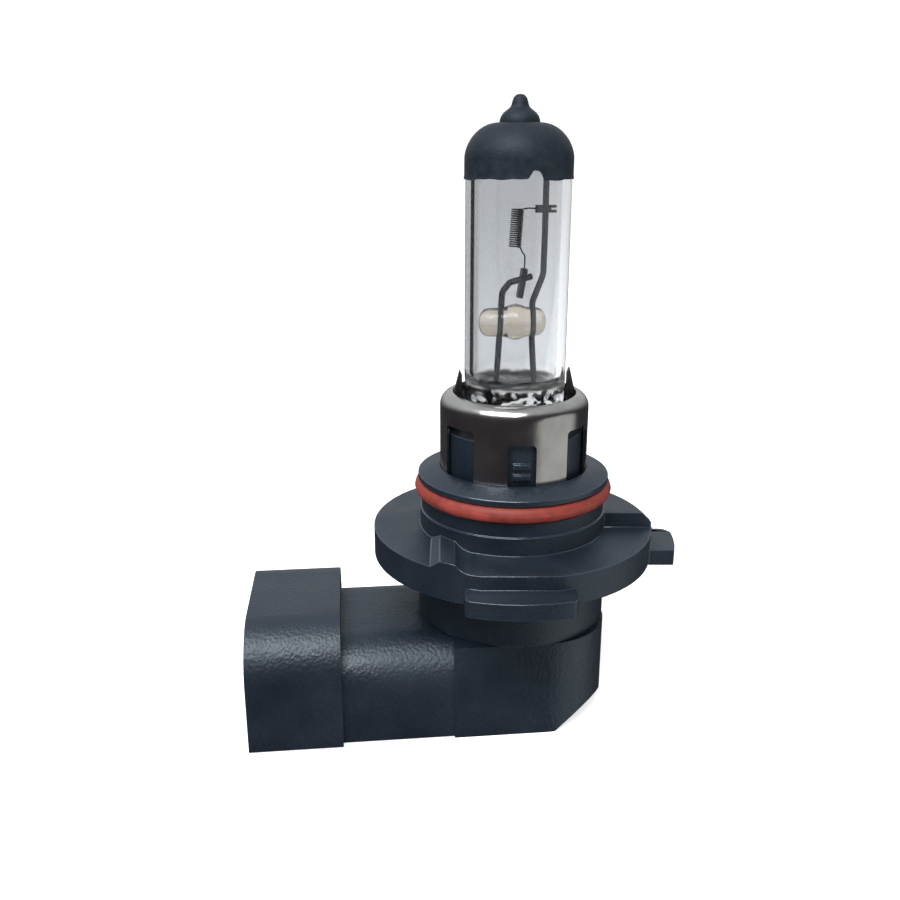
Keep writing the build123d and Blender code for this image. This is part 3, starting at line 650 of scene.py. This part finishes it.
angle = around(160)[None, :]
s = np.linspace(0, 1, 90)
bx = bead_low.x + (bead_high.x - bead_low.x) * (1 - np.cos(math.pi * s)) / 2
end_gap = np.minimum(bx - bead_low.x, bead_high.x - bx) / end_round
rod = bead_r * np.sqrt(1 - (1 - np.clip(end_gap, 0, 1)) ** end_fullness)
swelling = swell * np.exp(-((bx - swell_x) / swell_width) ** 2)
radius = (rod + swelling)[:, None]
bead_grid = np.stack([bx[:, None] + 0 * angle, radius * np.cos(angle) * flatness,
                      bead_z + radius * np.sin(angle)], -1)
settle(make_piece("glass_bridge", [bead_grid]), "bridge_bead", "bead_glass", bead_glass)

# %% [markdown]
# ## The mouldings and the holder cup
# The CAD solids already have the right shape, but neither a mould nor a piercing tool leaves a
# knife edge. A merged copy of each keeps the shape, and a Bevel modifier rounds the edges sharper
# than 30 degrees. Its clamp limits all of a piece's rounds to what the shortest edge allows, which
# leaves the connector and the cup almost none. The base has the clamp off and keeps its 0.09 mm,
# which catches thin bright lines along the flange and the lugs. The price is a sliver of
# overlapping faces where the right-hand lug's ramp starts.

# %% Base, connector and cup with their edge rounds

base_round, connector_round, cup_round = 0.09 * mm, 0.25 * mm, 0.05 * mm
merge_within = 2e-7
flat_within, shade_within, round_past = 0.6, 35, 30              # degrees
rubbed_and_painted_highlight = 1                               # the moulding's second material, for edges that are worn and carry a painted highlight


def edge_rounded(node_name, name, width, edge_material=-1, free=False):
    """A merged copy of a CAD node, flat faces joined up again, with a round of up to that width on
    its edges. A free round keeps the width; otherwise the piece's shortest edge limits it."""
    mesh = nodes[node_name].data.copy()
    mesh.name = name
    build = bmesh.new()
    build.from_mesh(mesh)
    bmesh.ops.remove_doubles(build, verts=build.verts, dist=merge_within)
    bmesh.ops.dissolve_limit(build, angle_limit=math.radians(flat_within), verts=build.verts,
                             edges=build.edges)
    build.to_mesh(mesh)
    build.free()
    smooth_but_sharp_past(mesh, shade_within)
    piece = bpy.data.objects.new(name, mesh)
    scene.collection.objects.link(piece)
    bevel = piece.modifiers.new("edge round", "BEVEL")
    bevel.width = width
    bevel.segments = 3
    bevel.limit_method = "ANGLE"
    bevel.angle_limit = math.radians(round_past)
    bevel.material = edge_material
    bevel.use_clamp_overlap = not free
    return piece


base = edge_rounded("base_housing", "base_moulding", base_round, rubbed_and_painted_highlight, free=True)
settle(base, "base_housing", "base_plastic", base_nylon, edge_nylon_painted_highlight)
connector = edge_rounded("connector_housing", "connector_moulding", connector_round, rubbed_and_painted_highlight)
settle(connector, "connector_housing", "connector_plastic", connector_nylon, edge_nylon_painted_highlight)
cup = edge_rounded("holder_cup", "drawn_cup", cup_round)
settle(cup, "holder_cup", "plated_sleeve", nickel)

# %% [markdown]
# ## The O-ring
# Moulded silicone, round in section, with a hair of flash where the mould's halves met. It is a
# circle carried round a circle: the small one swells by the flash where it faces straight out.

# %% O-ring

ring_low, ring_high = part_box("o_ring")
ring_section = (ring_high.z - ring_low.z) / 2
ring_r = ring_high.x - ring_section
ring_z = (ring_low.z + ring_high.z) / 2
flash_height, flash_width = 0.03 * mm, 0.09
trim = 0.02 * mm                         # the moulded ring is this much slimmer up and down

small = np.linspace(0, 2 * math.pi, 49)
flash = flash_height * np.exp(-(np.angle(np.exp(1j * small)) / flash_width) ** 2)
ring_line = np.stack([ring_r + (ring_section + flash - flash_height) * np.cos(small),
                      ring_z + (ring_section - trim) * np.sin(small)], 1)
settle(make_piece("rubber_ring", [turned(ring_line, 220)]), "o_ring", "seal_rubber", silicone)

# %% [markdown]
# ## Small parts kept as they are
# Clamps, clip halves, foils, leads, terminals and resin are plain shapes that the CAD model
# already gives exactly, so they stay and only get their materials.

# %% Materials for the kept nodes

kept = {
    "upper_clamp": molybdenum, "lower_clamp": molybdenum, "seal_foil_left": foil_metal,
    "seal_foil_right": foil_metal, "outer_lead_left": molybdenum, "outer_lead_right": molybdenum,
    "pinch_clip_front": clip_steel, "pinch_clip_back": clip_steel, "terminal_left": tinned,
    "terminal_right": tinned, "sealing_compound": resin,
}
for node_name, material in kept.items():
    node = nodes[node_name]
    node.data.materials.clear()
    node.data.materials.append(material)
print("kept nodes:", len(kept))

# %% [markdown]
# ## Floor
# A white table in a white room. White paper under plain lights would still look grey far off, so
# it glows a little by itself, which joins it to the room with no line between them.

# %% Floor

floor_z = cad_box[0][2]
half_floor = 3.0
paper_glow = 0.62


def quad(name, corners):
    """A flat four-cornered object."""
    mesh = bpy.data.meshes.new(name)
    mesh.from_pydata(corners, [], [(0, 1, 2, 3)])
    made = bpy.data.objects.new(name, mesh)
    scene.collection.objects.link(made)
    return made


floor = quad("floor", [(x * half_floor, y * half_floor, floor_z)
                       for x, y in ((-1, -1), (1, -1), (1, 1), (-1, 1))])
paper, _, _ = new_material("white paper", Base_Color=linear("#f2f3f4"), Roughness=0.9,
                           Emission_Color=grey(1.0), Emission_Strength=paper_glow)
floor.data.materials.append(paper)
floor.visible_glossy = False

# %% [markdown]
# ## The room
# Black plastic and bright nickel are drawn by what they reflect, so the room has three faces. The
# camera and the glass see white paper, matt surfaces are lit by about half as much, and mirrors see
# a dark room with a pale ceiling and one bright window, low and in front on the right.

# %% Room seen by the eye and room seen in reflections

ceiling_way, window_way = (0.0, 0.5, 1.0), (0.82, -0.44, -0.30)
white_paper, matt_light = grey(1.1), grey(0.5)

room = bpy.data.worlds.new("white room")
room.use_nodes = True
scene.world = room
tree = room.node_tree
background = tree.nodes["Background"]
ray = add(tree, "LightPath")
direction = add(tree, "TexCoord").outputs["Generated"]
upward = add(tree, "VectorMath", {0: direction, 1: ceiling_way}, operation="DOT_PRODUCT")
overhead = add(tree, "MapRange", {"Value": upward.outputs["Value"], "From Min": 0.2,
                                  "From Max": 0.75}, interpolation_type="SMOOTHSTEP")
aside = add(tree, "VectorMath", {0: direction, 1: window_way}, operation="DOT_PRODUCT")
window = add(tree, "MapRange", {"Value": aside.outputs["Value"], "From Min": 0.76,
                                "From Max": 0.88}, interpolation_type="SMOOTHSTEP")
room_tone = add(tree, "MixRGB", {"Fac": overhead.outputs["Result"], "Color1": linear("#3c393e"),
                                 "Color2": linear("#dfe3e8")})
seen = add(tree, "MixRGB", {"Fac": window.outputs["Result"], "Color1": room_tone.outputs[0],
                            "Color2": linear("#e8eae9")})
soft = add(tree, "MixRGB", {"Fac": ray.outputs["Is Diffuse Ray"], "Color1": white_paper,
                            "Color2": matt_light})
mirrored = add(tree, "Math", {0: ray.outputs["Is Glossy Ray"],
                              1: ray.outputs["Is Transmission Ray"]},
               operation="SUBTRACT", use_clamp=True)
mirror_side = add(tree, "MixRGB", {"Fac": mirrored.outputs[0], "Color1": soft.outputs[0],
                                   "Color2": seen.outputs[0]})
tree.links.new(mirror_side.outputs[0], background.inputs["Color"])
background.inputs["Strength"].default_value = 1.0
print("world:", room.name)

# %% [markdown]
# ## The softbox
# One large softbox hangs above, in front and a little to the left, so that the flange and the lugs
# get their soft upper light and the cup its one long highlight.

# %% Softbox

softbox_size, softbox_power = (0.42, 0.20), 3.1
softbox_place = (-0.15, -0.235, 0.39)
lit_point = Vector((0, 0, 0.01))         # the middle of the bulb

lamp = bpy.data.lights.new("softbox above", "AREA")
lamp.shape = "RECTANGLE"
lamp.size, lamp.size_y = softbox_size
lamp.energy = softbox_power
softbox = bpy.data.objects.new("softbox above", lamp)
scene.collection.objects.link(softbox)
softbox.location = softbox_place
aim = lit_point - Vector(softbox_place)
softbox.rotation_euler = aim.to_track_quat("-Z", "Y").to_euler()
softbox.visible_camera = False
print("softbox from the bulb, m:", round(aim.length, 3))

# %% [markdown]
# ## A card for the glass's edge
# Clear glass on white has no edge of its own, so a white card with a black stripe stands behind
# the capsule on the left. The tube's wall turns the light sideways, which shows the stripe as one
# dark line. Only light that has passed through the glass sees the card.

# %% Edge card

card_away, card_half_width, card_top = 0.085, 0.040, 0.07
card_left = math.radians(36)
card_white, card_black = grey(1.1), grey(0.0)

card_middle = np.array([-math.sin(card_left), math.cos(card_left)]) * card_away
card_along = np.array([math.cos(card_left), math.sin(card_left)]) * card_half_width
near, far = card_middle - card_along, card_middle + card_along
card = quad("edge_card", [(*near, floor_z), (*far, floor_z), (*far, card_top), (*near, card_top)])
across_uv = card.data.uv_layers.new(name="across")
across_uv.data.foreach_set("uv", [0, 0, 1, 0, 1, 1, 0, 1])
card_paper, tree, shader = new_material("striped card", Base_Color=card_black,
                                        Specular_IOR_Level=0.0, Emission_Strength=1.0)
across = add(tree, "SeparateXYZ", {"Vector": add(tree, "TexCoord").outputs["UV"]})
stripe = add(tree, "ValToRGB", {"Fac": across.outputs["X"]},
             stops=[(0.0, card_white), (0.27, card_white), (0.31, card_black),
                    (0.60, card_black), (0.63, card_white), (1.0, card_white)])
tree.links.new(stripe.outputs["Color"], shader.inputs["Emission Color"])
card.data.materials.append(card_paper)
for seen_by in ("camera", "diffuse", "glossy", "shadow"):
    setattr(card, "visible_" + seen_by, False)

# %% [markdown]
# ## The camera
# It stands about 105 mm in front of the lamp axis, a little to the left and a little higher than
# the filament, and looks down. The colours are shown as they are, with no film-like curve.

# %% Camera

camera_place = (-0.01827, -0.10364, 0.04180)
tilt, heading = 72.5, -6.02              # degrees up from straight down, and to the right

lens = bpy.data.cameras.new("camera")
lens.lens = 38
lens.sensor_width = 36
lens.clip_start = 0.005
camera = bpy.data.objects.new("camera", lens)
scene.collection.objects.link(camera)
camera.location = camera_place
camera.rotation_euler = (math.radians(tilt), 0, math.radians(heading))
scene.camera = camera
scene.view_settings.view_transform = "Standard"
print("camera:", lens.lens, "mm lens, tilted", tilt, "degrees")
